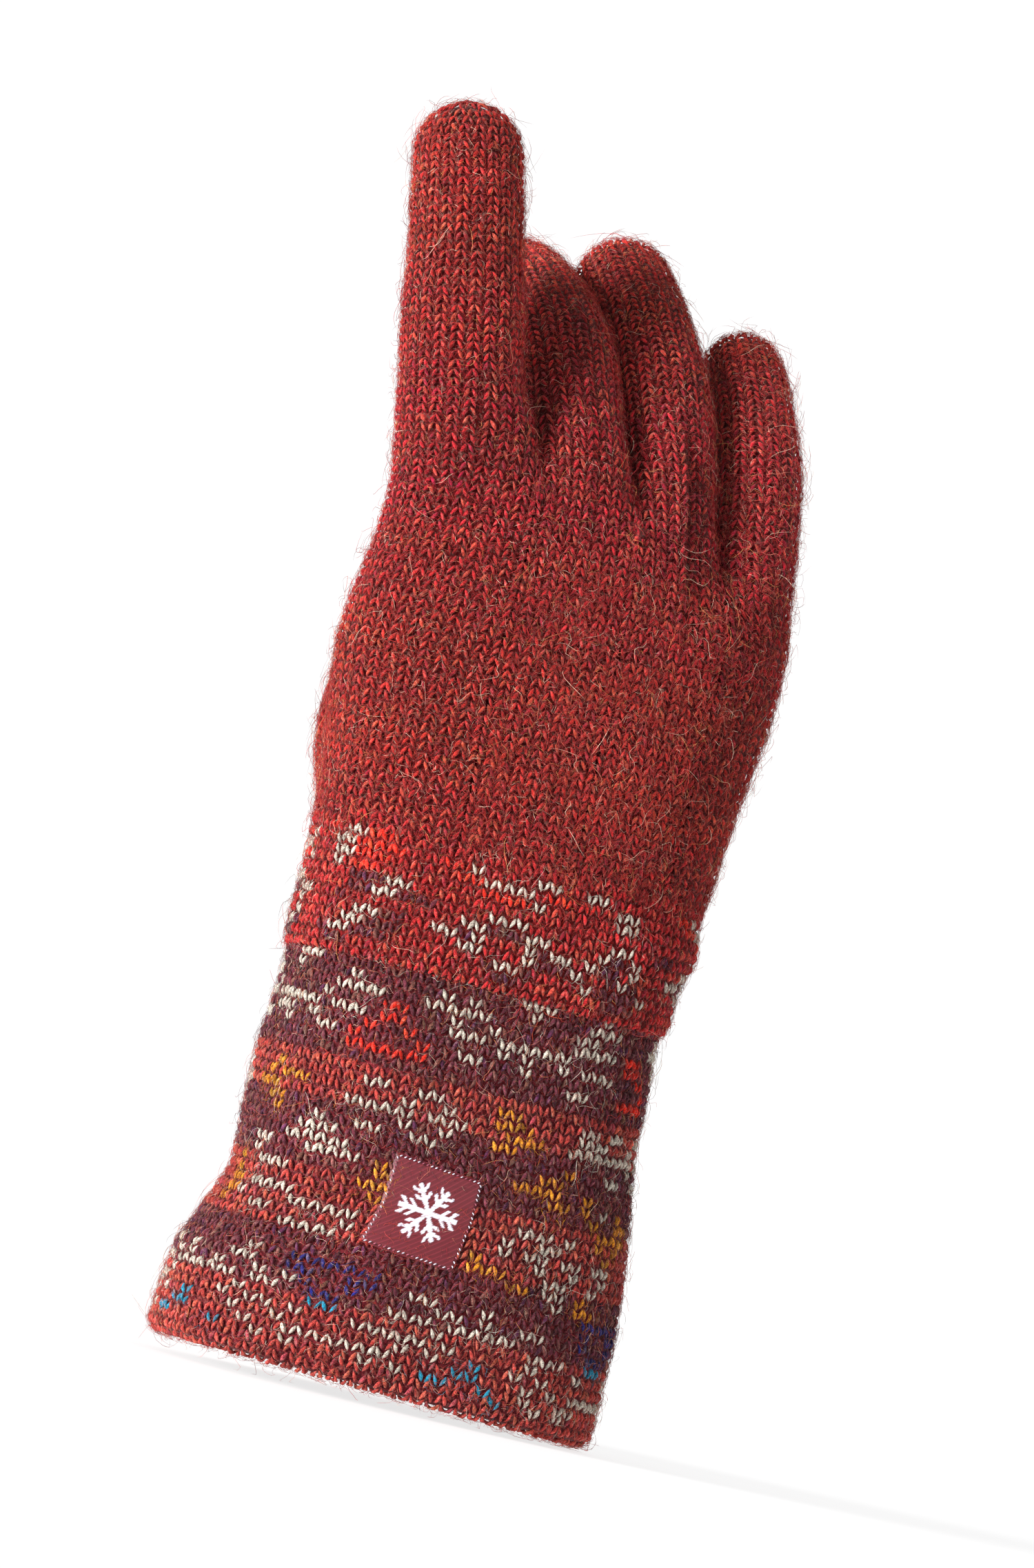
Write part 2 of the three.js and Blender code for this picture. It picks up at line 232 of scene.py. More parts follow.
def section_point(u, z):
    """The point a share u round the outline at height z. u runs 0..1: thumb side, back, little side, palm."""
    u = np.mod(u, 1.0) * SECTION_PARTS
    row = np.clip((z - SECTION_HEIGHTS[0]) / SECTION_STEP, 0, len(SECTION_HEIGHTS) - 1.001)
    i, j = np.floor(row).astype(int), np.floor(u).astype(int)
    fi, fj = (row - i)[..., None], (u - j)[..., None]
    j = np.clip(j, 0, SECTION_PARTS - 1)
    low = SECTIONS[i, j] * (1 - fj) + SECTIONS[i, j + 1] * fj
    high = SECTIONS[i + 1, j] * (1 - fj) + SECTIONS[i + 1, j + 1] * fj
    xy = low * (1 - fi) + high * fi
    return np.concatenate([xy, z[..., None]], axis=-1)


def soft_waves(u, z, amount):
    """Slow unevenness of hand-worn knitting."""
    turn = 2 * math.pi * u
    wave = np.sin(3 * turn + 60 * z + 0.6) * np.sin(95 * z + 1.1) + 0.6 * np.sin(5 * turn - 75 * z + 2.0)
    return amount * wave


def outset(points, u, z, amount):
    """Moves section points outward, square to the outline, by amount."""
    step = 0.002
    ahead, behind = section_point(u + step, z), section_point(u - step, z)
    along = ahead - behind
    normal = np.stack([along[..., 1], -along[..., 0], np.zeros_like(along[..., 0])], axis=-1)
    normal /= np.linalg.norm(normal, axis=-1, keepdims=True)
    return points + normal * amount[..., None]


def smooth(x):
    """0 below 0, 1 above 1, and an S-shaped ramp between."""
    x = np.clip(x, 0, 1)
    return x * x * (3 - 2 * x)


HEM_RADIUS = 2.55 * MM
HEM_LIFT = 0.8 * MM  # keeps the loops of the hem above the floor


def cuff_surface(u, t):
    """t is the way along the knitting: below 0 the inner layer, then round the hem, then up the outside."""
    turn = math.pi * HEM_RADIUS
    angle = np.clip(t / HEM_RADIUS, 0, math.pi)
    outside = np.where(t < turn, HEM_RADIUS - HEM_RADIUS * np.sin(angle), t - turn + HEM_RADIUS)
    z = np.where(t < 0, HEM_RADIUS - t, outside)
    inward = HEM_RADIUS + HEM_RADIUS * np.cos(angle)
    flat = np.maximum(z, 0)
    base = section_point(u, flat)
    waves = soft_waves(u, flat, 0.45 * MM) * smooth(flat / (14 * MM))
    tuck = 2.0 * MM * smooth((flat - FOLD_Z + 3 * MM) / (4 * MM))
    placed = outset(base, u, flat, waves - inward - tuck + 0.35 * MM)
    tilt = 1.3 * MM * (1 - np.cos(2 * math.pi * (u - 0.5))) * (1 - smooth(z / (34 * MM)))
    placed[..., 2] = z + HEM_LIFT + tilt
    return placed


LIP_RADIUS = 1.6 * MM


def band_surface(u, t):
    """The band above the wrist: t runs from inside the fold, round its lip and up to the hand."""
    turn = math.pi * LIP_RADIUS
    angle = np.clip(t / LIP_RADIUS, 0, math.pi)
    side = np.cos(2 * math.pi * (u - 0.5))
    lip_z = FOLD_Z + 0.5 * MM * np.sin(4 * math.pi * u)
    stretch = (BAND_TOP - lip_z) / (BAND_TOP - FOLD_Z)
    z = lip_z + np.where(t < 0, -t, np.where(t < turn, -LIP_RADIUS * np.sin(angle), (t - turn) * stretch))
    settled = smooth((z - lip_z) / (19 * MM))
    overhang = (1.5 + 0.3 * side) * MM * (1 - settled)
    swell = 2.0 * MM * np.exp(-(((z - 100 * MM) / (5 * MM)) ** 2)) * smooth((side - 0.3) / 0.7)
    out = overhang + swell - LIP_RADIUS * (1 + np.cos(angle))
    return outset(section_point(u, z), u, z, out + soft_waves(u, z, 0.35 * MM))


# ---- the surface of the fingers

def column_edges():
    """The share round the section, on the back of the hand, at which each finger's column starts."""
    z = 176 * MM
    shares = np.linspace(0, 0.5, 400)
    x = section_point(shares, np.full(400, z))[:, 0]
    return [0.0] + [float(np.interp(crotch[0], x, shares)) for crotch in CROTCHES] + [0.5]


EDGES = column_edges()


class Line:
    """The middle line of a digit, by length along it, with a frame that turns with it."""

    def __init__(self, points, across):
        self.points, self.across = points, across
        steps = np.linalg.norm(np.diff(points, axis=0), axis=1)
        self.at = np.concatenate([[0], np.cumsum(steps)])
        self.length = self.at[-1]
        self.tangents = np.gradient(points, self.at, axis=0)
        self.tangents /= np.linalg.norm(self.tangents, axis=1, keepdims=True)

    def frame(self, s):
        clipped = np.clip(s, 0, self.length)
        centre = np.stack([np.interp(clipped, self.at, self.points[:, i]) for i in range(3)], axis=-1)
        tangent = np.stack([np.interp(clipped, self.at, self.tangents[:, i]) for i in range(3)], axis=-1)
        tangent /= np.linalg.norm(tangent, axis=-1, keepdims=True)
        centre = centre + tangent * (s - clipped)[..., None]
        across = np.broadcast_to(self.across, tangent.shape)
        across = across - tangent * np.sum(across * tangent, axis=-1, keepdims=True)
        across /= np.linalg.norm(across, axis=-1, keepdims=True)
        return centre, tangent, across, np.cross(across, tangent)


def finger_line(spec):
    lean = math.radians(spec["lean"])
    straight = np.array([math.sin(lean), 0, math.cos(lean)])
    lengths = np.array(spec["lengths"]) * MM
    middles = np.cumsum(lengths) - lengths / 2
    s = np.arange(0, lengths.sum() + 0.0004, 0.5 * MM)
    bends = np.radians(np.interp(s, middles, spec["bends"]))
    kernel = np.hanning(17) / np.hanning(17).sum()
    bends = np.convolve(np.pad(bends, 8, mode="edge"), kernel, mode="valid")
    along = np.outer(np.cos(bends), straight) + np.outer(np.sin(bends), (0, 1, 0))
    walked = np.concatenate([[np.zeros(3)], np.cumsum(along[:-1] * 0.5 * MM, axis=0)])
    points = np.array(spec["root"]) * MM + walked
    return Line(points, np.cross((0, 1, 0), straight))


def thumb_line():
    points = np.array(THUMB["points"]) * MM
    knots = np.concatenate([[0], np.cumsum(np.linalg.norm(np.diff(points, axis=0), axis=1))])
    dense = np.linspace(0, knots[-1], 160)
    coarse = np.stack([np.interp(dense, knots, points[:, i]) for i in range(3)], axis=1)
    kernel = np.hanning(41) / np.hanning(41).sum()
    padded = np.concatenate([2 * coarse[0] - coarse[20:0:-1], coarse, 2 * coarse[-1] - coarse[-2:-22:-1]])
    curve = np.stack([np.convolve(padded[:, i], kernel, mode="valid") for i in range(3)], axis=1)
    first, last = points[1] - points[0], points[-1] - points[1]
    across = np.cross(last, first)
    return Line(curve, across / np.linalg.norm(across))


TIP_ROUNDNESS = 2.0  # power of a tip's dome: 2 is a half ball


class Finger:
    """A finger's tube, which goes on down the hand as its own column of stitches."""

    def __init__(self, spec, index):
        self.line = finger_line(spec)
        self.back = spec["back"]
        self.left, self.right = spec["gussets"]
        self.total = 2 * self.back + self.left + self.right
        self.low, self.high = EDGES[index], EDGES[index + 1]
        self.root_t = spec["root"][2] * MM
        self.radii = np.array(spec["radius"]) * MM
        self.crotch = (
            CROTCHES[index - 1] if index else None,
            CROTCHES[index] if index < 3 else None,
        )

    def radius(self, s):
        share = np.clip(s / self.line.length, 0, 1)
        r = self.radii[0] + (self.radii[1] - self.radii[0]) * share**1.3
        knuckle = 0.45 * MM * np.exp(-(((s - self.line.length * 0.52) / (7 * MM)) ** 2))
        over = np.clip((s - self.line.length) / self.radii[1], 0, 0.9999)
        return (r + knuckle) * np.sqrt(1 - over**TIP_ROUNDNESS)

    def on_finger(self, share, s):
        """share 0..1 round the finger: thumb side, back, little side, palm."""
        r = self.radius(s)
        squash = np.clip(s, None, self.line.length + self.radii[1] * 0.999)
        centre, _, across, back = self.line.frame(squash)
        angle = 2 * math.pi * share
        wide = -np.cos(angle)
        sideways = r * wide
        for crotch, sign in zip(self.crotch, (-1, 1)):
            if crotch is None:
                continue
            meet = self.line.frame(np.array([crotch[1] - self.root_t]))[0][0]
            reach = (crotch[0] - meet[0]) * sign
            above = np.clip(s - (crotch[1] - self.root_t), 0, None)
            extra = (reach - self.radii[0]) * np.exp(-above / (5 * MM))
            sideways = sideways + np.where(wide * sign > 0, extra * wide, 0)
        ripple = 0.22 * MM * np.sin(2 * math.pi * 2 * share + 240 * s) * np.sin(170 * s + 1)
        return centre + across * sideways[..., None] + back * ((r + ripple) * np.sin(angle))[..., None]

    def on_hand(self, share, z):
        """The hand's own surface under this finger's column. share is as on the finger."""
        wale = share * self.total - self.left / 2
        back_share = np.clip(wale / self.back, 0, 1)
        palm_wale = wale - self.back - self.right
        palm_share = np.clip(palm_wale / self.back, 0, 1)
        on_palm = wale > self.back + self.right / 2
        u = np.where(on_palm, 1 - self.high + palm_share * (self.high - self.low),
                     self.low + back_share * (self.high - self.low))
        u = np.where(wale < 0, -self.low, u) if self.left else u
        return section_point(u, z), u

    def surface(self, share, t):
        """t is the height up the hand, then on along the finger."""
        share = np.mod(share, 1.0)
        hand, u = self.on_hand(share, t)
        hand = outset(hand, u, t, soft_waves(u, t, 0.35 * MM) * smooth((CROTCH_Z - t) / (20 * MM)))
        finger = self.on_finger(share, t - self.root_t)
        side = np.abs(np.cos(2 * math.pi * share))
        near_left = np.cos(2 * math.pi * share) > 0
        left_z = self.crotch[0][1] if self.crotch[0] else CROTCH_Z - 4 * MM
        right_z = self.crotch[1][1] if self.crotch[1] else CROTCH_Z - 8 * MM
        crotch_z = np.where(near_left, left_z, right_z)
        edge = side**4
        free = np.where(near_left, self.crotch[0] is None, self.crotch[1] is None)
        start = crotch_z - (22 - 9 * edge + 16 * free * edge) * MM
        end = crotch_z + (15 * (1 - edge) + 16 * free * edge) * MM
        weight = smooth((t - start) / (end - start))[..., None]
        return hand * (1 - weight) + finger * weight


FINGER_TUBES = {name: Finger(spec, i) for i, (name, spec) in enumerate(FINGERS.items())}


class Thumb:
    """The thumb's tube, flared at its root."""

    def __init__(self):
        self.line = thumb_line()
        self.radii = np.array(THUMB["radius"]) * MM
        self.total = THUMB["wales"]

    def surface(self, share, s):
        length = self.line.length
        r = self.radii[0] + (self.radii[1] - self.radii[0]) * np.clip(s / length, 0, 1)
        r = r + 1.8 * MM * np.exp(-np.clip(s - 17 * MM, 0, None) / (5 * MM))
        over = np.clip((s - length) / self.radii[1], 0, 0.9999)
        r = r * np.sqrt(1 - over**TIP_ROUNDNESS)
        centre, _, across, back = self.line.frame(np.clip(s, None, length + self.radii[1] * 0.999))
        angle = 2 * math.pi * share
        ripple = 0.25 * MM * np.sin(4 * math.pi * share + 230 * s)
        sideways, backward = -r * np.cos(angle), (r + ripple) * np.sin(angle)
        return centre + across * sideways[..., None] + back * backward[..., None]


THUMB_TUBE = Thumb()

# ---- meshes


class Cloth:
    """Gathers the vertices, faces and yarn colours of one piece."""

    def __init__(self):
        self.vertices, self.quads, self.triangles, self.colours, self.plies = [], [], [], [], []
        self.count = 0

    def add_strands(self, strands, colours):
        vertices, quads, triangles, plies, per = strands
        self.add(vertices, quads, triangles, np.repeat(colours, per, axis=0), plies)

    def add(self, vertices, quads, triangles, colours, plies=None):
        self.vertices.append(vertices)
        self.colours.append(colours)
        self.plies.append(vertices / MM if plies is None else plies)
        if len(quads):
            self.quads.append(quads + self.count)
        if len(triangles):
            self.triangles.append(triangles + self.count)
        self.count += len(vertices)

    def build(self, name, material):
        vertices = np.concatenate(self.vertices)
        quads = np.concatenate(self.quads) if self.quads else np.zeros((0, 4), int)
        triangles = np.concatenate(self.triangles) if self.triangles else np.zeros((0, 3), int)
        mesh = bpy.data.meshes.new(name)
        mesh.vertices.add(len(vertices))
        mesh.vertices.foreach_set("co", vertices.ravel())
        corners = np.concatenate([quads.ravel(), triangles.ravel()]).astype(np.int32)
        sizes = np.concatenate([np.full(len(quads), 4), np.full(len(triangles), 3)])
        mesh.loops.add(len(corners))
        mesh.loops.foreach_set("vertex_index", corners)
        mesh.polygons.add(len(sizes))
        mesh.polygons.foreach_set("loop_start", np.concatenate([[0], np.cumsum(sizes)[:-1]]).astype(np.int32))
        mesh.update(calc_edges=True)
        mesh.polygons.foreach_set("use_smooth", np.ones(len(sizes), bool))
        colours = np.concatenate(self.colours)
        layer = mesh.color_attributes.new("yarn", "FLOAT_COLOR", "POINT")
        layer.data.foreach_set("color", np.concatenate([colours, np.ones((len(colours), 1))], axis=1).ravel())
        plies = mesh.attributes.new("plies", "FLOAT_VECTOR", "POINT")
        plies.data.foreach_set("vector", np.concatenate(self.plies).ravel())
        mesh.validate()
        mesh.materials.append(material)
        piece = bpy.data.objects.new(name, mesh)
        bpy.context.scene.collection.objects.link(piece)
        return piece


def unit(v):
    """Vectors scaled to length one."""
    return v / np.maximum(np.linalg.norm(v, axis=-1, keepdims=True), 1e-9)


def normal_at(surface, u, t, du=0.004, dt=0.4 * MM):
    """The outward normal of a surface, from steps of du and dt each way."""
    across = surface(u + du, t) - surface(u - du, t)
    along = surface(u, t + dt) - surface(u, t - dt)
    return unit(np.cross(across, along))


LEG_STEPS = np.array([0.0, 0.22, 0.5, 0.78, 1.0])
TWIST = 2.6 / MM  # turn of the yarn's plies, in radians for each metre along it


def swept(points, normals, radii, sides=5, flat=0.85):
    """Closed tapering strands: their vertices, faces, place in the twist, and vertices for each strand.

    points is (strands, steps, 3). The first and last step are the strands' ends.
    """
    strands, steps, _ = points.shape
    along = np.gradient(points, axis=1)
    rights = unit(np.cross(unit(along), normals))
    ups = unit(np.cross(rights, unit(along)))
    turns = np.arange(sides) * 2 * math.pi / sides
    ring = (rights[:, 1:-1, None] * np.cos(turns)[None, None, :, None]
            + ups[:, 1:-1, None] * (flat * np.sin(turns))[None, None, :, None])
    rings = points[:, 1:-1, None] + ring * radii[:, 1:-1, None, None]
    vertices = np.concatenate([points[:, :1], rings.reshape(strands, -1, 3), points[:, -1:]], axis=1)
    walked = np.cumsum(np.linalg.norm(np.diff(points, axis=1, prepend=points[:, :1]), axis=2), axis=1)
    angle = turns[None, None] + walked[:, 1:-1, None] * TWIST
    depth = walked / MM * 0.6 + rng.uniform(0, 300, (strands, 1))
    deep = np.broadcast_to(depth[:, 1:-1, None], angle.shape)
    plies = np.stack([np.cos(angle), np.sin(angle), deep], axis=-1)
    ends = [np.stack([np.zeros(strands), np.zeros(strands), depth[:, i]], axis=-1)[:, None] for i in (0, -1)]
    plies = np.concatenate([ends[0], plies.reshape(strands, -1, 3), ends[1]], axis=1)
    per = vertices.shape[1]
    base = (np.arange(strands) * per)[:, None, None]
    k = np.arange(sides)
    nxt = (k + 1) % sides
    quads = []
    for step in range(steps - 3):
        low = 1 + step * sides
        quads.append(np.stack([low + k, low + nxt, low + sides + nxt, low + sides + k], axis=1))
    last = 1 + (steps - 3) * sides
    start = np.stack([nxt + 1, k + 1, np.zeros(sides, int)], axis=1)
    end = np.stack([last + k, last + nxt, np.full(sides, per - 1)], axis=1)
    quads = (np.concatenate(quads)[None] + base).reshape(-1, 4)
    triangles = (np.concatenate([start, end])[None] + base).reshape(-1, 3)
    return vertices.reshape(-1, 3), quads, triangles, plies.reshape(-1, 3), per


def heathered(colours, spread=0.2):
    """The yarn's unevenness: each stretch is a little lighter, darker, more orange or more purple."""
    n = len(colours)
    pale = colours[:, 1:2] > 0.2
    light = np.exp(rng.normal(0, spread, n))[:, None]
    light = np.where(pale, 0.5 + 0.5 * light, light)
    fleck = np.where(pale, 0.5, rng.random(n)[:, None])
    warm = np.where(fleck > 0.86, np.array([[0.05, 0.035, 0.012]]), 0.0)
    cool = np.where((fleck > 0.1) & (fleck < 0.2), np.array([[0.7, 0.85, 1.4]]), 1.0)
    dark = np.where(fleck < 0.1, 0.55, 1.0)
    return np.clip(colours * light * cool * dark + warm, 0, 0.9)


def dyed_red(t):
    """The red yarn's dye drifts slowly between crimson and brick along the glove, a few rows at a time."""
    mm = np.asarray(t) / MM
    drift = 0.7 * np.cos((mm - 134) * 0.062) + 0.35 * np.sin(mm * 0.31) + 0.25 * np.sin(mm * 0.83 + 1)
    return YARNS["r"] * (1 + drift[:, None] * np.array([0.06, 0.38, -0.06]))


def knit(cloth, surface, u, width, t, course, colours, yarn=YARN):
    """One V of two legs for each stitch: its middle at u, its foot at t."""
    n = len(u)
    steps = LEG_STEPS[None]
    for side in (-1, 1):
        sway = rng.normal(0, 0.035, (n, 1))
        reach = 0.1 + 0.37 * steps + sway * (steps + 0.4)
        us = u[:, None] + side * width[:, None] * reach
        ts = t[:, None] + course * (-0.03 + 1.1 * steps + rng.normal(0, 0.07, (n, 1)))
        points = surface(us, ts)
        normals = normal_at(surface, us, ts)
        lift = (1.3 * np.sin(math.pi * (0.08 + 0.87 * steps)) - 0.75) * yarn
        points = points + normals * (lift + rng.normal(0, 0.08 * MM, (n, 1)))[..., None]
        radii = yarn * (0.2 + 0.8 * np.sin(math.pi * steps) ** 1.2) * (1 + rng.normal(0, 0.1, (n, 1)))
        cloth.add_strands(swept(points, normals, radii), heathered(colours))


def grid_faces(rows, columns):
    """The four-sided faces of a grid of vertices."""
    index = np.arange(rows * columns).reshape(rows, columns)
    return np.stack([index[:-1, :-1], index[1:, :-1], index[1:, 1:], index[:-1, 1:]], axis=-1).reshape(-1, 4)


def backing(cloth, surface, us, ts, depth, colour):
    """The ground behind the stitches, closed to a thin wall and painted at a fifth of the yarn's colour:
    painted shade in the gaps between the legs.
    """
    gu, gt = np.meshgrid(us, ts, indexing="ij")
    points, normals = surface(gu, gt), normal_at(surface, gu, gt)
    quads = grid_faces(*gu.shape)
    # Painted shade: the wall is a fifth as bright as the yarn it stands behind.
    colours = np.tile(colour * 0.2, (gu.size, 1))
    for deep, faces in ((depth, quads), (depth + WALL_THICKNESS, quads[:, ::-1])):
        cloth.add((points - normals * deep).reshape(-1, 3), faces, [], colours)


def fuzz(cloth, surface, spots, colours, down, strays, seed):
    """The wool's halo: short down that lies close, and a few long strays. spots are the stitches' (u, t).

    Lengths and lifts from the surface are in millimetres.
    """
    fibres(cloth, surface, spots, colours, down, 4, (1.0, 3.4), (0.0, 0.7), 0.030 * MM, seed)
    fibres(cloth, surface, spots, colours, strays, 7, (3.5, 9.0), (0.2, 1.8), 0.032 * MM, seed + 100)


def fibres(cloth, surface, spots, colours, count, steps, length, lift, thick, seed):
    """Fine loose fibres with a random curl, each growing from near one of the stitches."""
    draw = np.random.default_rng(seed)
    pick = draw.integers(0, len(spots[0]), count)
    u, t = spots[0][pick] + draw.normal(0, 0.006, count), spots[1][pick] + draw.uniform(-MM, 2 * MM, count)
    foot, normal = surface(u, t), normal_at(surface, u, t)
    along = unit(surface(u, t + 0.5 * MM) - surface(u, t - 0.5 * MM))
    across = np.cross(along, normal)
    turn = draw.uniform(0, 2 * math.pi, count)[:, None]
    heading = along * np.cos(turn) + across * np.sin(turn)
    sideways = np.cross(normal, heading)

    def each(values):
        return values[:, None, None]

    share = np.linspace(0, 1, steps)[None, :, None]
    size = each(draw.uniform(*length, count)) * MM
    curl = each(draw.normal(0, 0.7, count))
    kink = each(draw.normal(0, 0.12, count))
    rise = each(draw.uniform(*lift, count)) * MM
    arc = np.sin(math.pi * share * each(draw.uniform(0.5, 1.1, count)))
    forward = heading[:, None] * size * (share - 0.3 * share**2 * np.abs(curl))
    bend = sideways[:, None] * size * (curl * share**2 * 0.6 + kink * np.sin(7 * share))
    path = foot[:, None] + forward + bend + normal[:, None] * (0.4 * MM + rise * arc)
    path[..., 2] = np.maximum(path[..., 2], 0.1 * MM)
    taper = np.interp(share[:, :, 0], (0, 0.3, 0.7, 1), (0.8, 1.0, 0.9, 0.4))
    radii = thick * taper * draw.uniform(0.7, 1.3, (count, 1))
    other = np.array(FUZZ_COLOURS)[draw.integers(0, len(FUZZ_COLOURS), count)]
    own = np.minimum(colours[pick] * draw.uniform(0.5, 1.9, (count, 1)), 0.85)
    tints = np.where(draw.random((count, 1)) < 0.6, own, other)
    normals = np.broadcast_to(normal[:, None], path.shape)
    cloth.add_strands(swept(path, normals, radii, sides=3, flat=1.0), tints)


# ---- materials


def node(tree, kind, **values):
    """A new shader node with its settings."""
    made = tree.nodes.new(kind)
    for key, value in values.items():
        setattr(made, key, value)
    return made


def remap(tree, value, source, target):
    """A value mapped from one range to another and held there."""
    made = node(tree, "ShaderNodeMapRange")
    for name, number in zip(("From Min", "From Max", "To Min", "To Max"), (*source, *target)):
        made.inputs[name].default_value = number
    tree.links.new(value, made.inputs["Value"])
    return made.outputs["Result"]


def noise(tree, vector, scale, detail):
    made = node(tree, "ShaderNodeTexNoise")
    made.inputs["Scale"].default_value = scale
    made.inputs["Detail"].default_value = detail
    made.inputs["Roughness"].default_value = 0.65
    tree.links.new(vector, made.inputs["Vector"])
    return made.outputs["Fac"]


def wool_material(name, contrast=1.0):
    """Yarn whose fibres run round with its twist, with painted shade between them and a painted highlight
    along them; some flecks are paler or more orange, partly pale fibres and partly painted glints.
    """
    material = bpy.data.materials.new(name)
    material.use_nodes = True
    tree = material.node_tree
    shader = tree.nodes["Principled BSDF"]
    yarn = node(tree, "ShaderNodeVertexColor", layer_name="yarn")
    plies = node(tree, "ShaderNodeAttribute", attribute_name="plies")
    place = node(tree, "ShaderNodeTexCoord")
    fibres = noise(tree, plies.outputs["Vector"], 1.9, 4.0)
    cloudy = noise(tree, place.outputs["Object"], 55.0, 2.0)
    pale_flecks_and_glints = noise(tree, place.outputs["Object"], 1300.0, 2.0)
    # Painted shade and painted highlight: the yarn is darkened where the fibre noise, which is also the bump,
    # is low and lightened to nearly double where it is high; a slow random cloudiness rides on it.
    low, high = 1 - 0.65 * contrast, 1 + 0.85 * contrast
    ply_shade_and_cloud = node(tree, "ShaderNodeMath", operation="MULTIPLY")
    tree.links.new(remap(tree, fibres, (0.38, 0.64), (low, high)), ply_shade_and_cloud.inputs[0])
    tree.links.new(remap(tree, cloudy, (0.3, 0.7), (0.86, 1.14)), ply_shade_and_cloud.inputs[1])
    shade = node(tree, "ShaderNodeVectorMath", operation="SCALE")
    tree.links.new(yarn.outputs["Color"], shade.inputs[0])
    tree.links.new(ply_shade_and_cloud.outputs["Value"], shade.inputs["Scale"])
    # Pale warm flecks added on top: partly pale fibres, partly painted glints.
    tinted = node(tree, "ShaderNodeMix", data_type="RGBA", blend_type="ADD")
    tree.links.new(remap(tree, pale_flecks_and_glints, (0.53, 0.66), (0.0, 0.9 * contrast)), tinted.inputs["Factor"])
    tree.links.new(shade.outputs["Vector"], tinted.inputs["A"])
    tinted.inputs["B"].default_value = (0.12, 0.075, 0.06, 1.0)
    tree.links.new(tinted.outputs["Result"], shader.inputs["Base Color"])
    raised = node(tree, "ShaderNodeBump")
    raised.inputs["Strength"].default_value = 0.6
    raised.inputs["Distance"].default_value = 0.0003
    tree.links.new(fibres, raised.inputs["Height"])
    tree.links.new(raised.outputs["Normal"], shader.inputs["Normal"])
    shader.inputs["Roughness"].default_value = 0.85
    shader.inputs["Specular IOR Level"].default_value = 0.12
    shader.inputs["Sheen Weight"].default_value = 0.2
    shader.inputs["Sheen Roughness"].default_value = 0.4
    shader.inputs["Sheen Tint"].default_value = (1.0, 0.72, 0.68, 1.0)
    return material


WOOL = wool_material("wool")

# ---- knitting the pieces


def courses(low, high, course):
    """The foot of each row of stitches between two places."""
    return np.arange(low, high - course * 0.25, course)


def lattice(wales, ts):
    """Every stitch of some full rows: its number along the row, and its row."""
    k, t = np.meshgrid(np.arange(wales), ts)
    return k.ravel(), t.ravel()


def make_cuff():
    turn = math.pi * HEM_RADIUS
    top = turn + FOLD_Z + 2.6 * MM - HEM_RADIUS
    roll_end = turn + 1.9 * MM
    lower, middle = roll_end + 12 * CUFF_COURSE, roll_end + 25 * CUFF_COURSE
    # Name, CAD node that it stands for, first and last place along the knitting, number of down fibres.
    pieces = (
        ("cuff_inner_layer", "cuff_facing", -FACING_DEPTH, -2.6 * MM, 2500),
        ("cuff_rolled_hem", "cuff_hem", -2.6 * MM, roll_end, 4000),
        ("cuff_outer_lower", "cuff_outer", roll_end, lower, 9000),
        ("cuff_outer_middle", None, lower, middle, 9000),
        ("cuff_outer_upper", None, middle, top, 8000),
    )
    for number, (name, cad_node, low, high, down) in enumerate(pieces):
        cloth = Cloth()
        k, t = lattice(CUFF_WALES, courses(low, high, CUFF_COURSE))
        u = (k + 0.5) / CUFF_WALES
        z = np.where(t < 0, HEM_RADIUS - t, np.where(t < turn, 0, t - turn + HEM_RADIUS))
        colours = chart_colours(CUFF_CHART, "b", k, np.round(z / CUFF_COURSE).astype(int))
        width = np.full(len(u), 1 / CUFF_WALES)
        knit(cloth, cuff_surface, u, width, t, CUFF_COURSE, colours, CUFF_YARN)
        grid_u, grid_t = np.linspace(0, 1, CUFF_WALES + 1), np.append(np.arange(low, high, 1.4 * MM), high)
        # The cuff's backing colour, which backing() darkens to a fifth as painted shade between the stitches.
        ground = YARNS["b"] * 1.6 + YARNS["r"] * 0.9
        backing(cloth, cuff_surface, grid_u, grid_t, WALL_DEPTH, ground)
        fuzz(cloth, cuff_surface, (u, t), colours, down, down // 15, 30 + number)
        piece = cloth.build(name, WOOL)
        if cad_node:
            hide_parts(cad_node)
        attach(piece, "hand_and_cuff")


ROWS_UNDER_FOLD = 3  # rows of the band that go round its lip and out of sight


def make_band():
    cloth = Cloth()
    lip_turn = math.pi * LIP_RADIUS
    top = lip_turn + BAND_TOP - FOLD_Z
    rows = len(BAND_CHART)
    k, row = lattice(CUFF_WALES, np.arange(-ROWS_UNDER_FOLD, rows))
    t = top + CUFF_COURSE * (row - rows)
    colours = chart_colours(BAND_CHART, "r", k, row)
    u = (k + 0.5) / CUFF_WALES
    knit(cloth, band_surface, u, np.full(len(u), 1 / CUFF_WALES), t, CUFF_COURSE, colours, CUFF_YARN)
    grid_t = np.append(np.arange(-2 * MM, top, 1.2 * MM), top + 0.5 * MM)
    # The band's backing, darkened to a fifth in backing() as painted shade between the stitches.
    backing(cloth, band_surface, np.linspace(0, 1, CUFF_WALES + 1), grid_t, WALL_DEPTH, YARNS["r"] * 1.6)
    fuzz(cloth, band_surface, (u, t), colours, 9000, 600, 41)
    piece = cloth.build("wrist_band_with_fold", WOOL)
    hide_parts("wrist_fold")
    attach(piece, "hand_and_cuff")


def hand_rows():
    return courses(BAND_TOP - 0.4 * HAND_COURSE, CROTCH_Z - 12 * MM, HAND_COURSE)


HAND_TOP = float(hand_rows()[-1] + HAND_COURSE)


def inside_thumb(points, margin):
    """True where the thumb's root takes the hand's place."""
    line = THUMB_TUBE.line
    gaps = np.linalg.norm(points[:, None] - line.points[None, ::4], axis=2)
    return (gaps.min(axis=1) < THUMB_TUBE.radii[0] + margin) & (points[:, 1] > 0)


def shade_sheet_surface(u, z):
    """The hand's surface in one round, below the fingers' own columns, which carries the dark sheet of
    painted shade inside the hand.
    """
    return outset(section_point(u, z), u, z, soft_waves(u, z, 0.35 * MM))


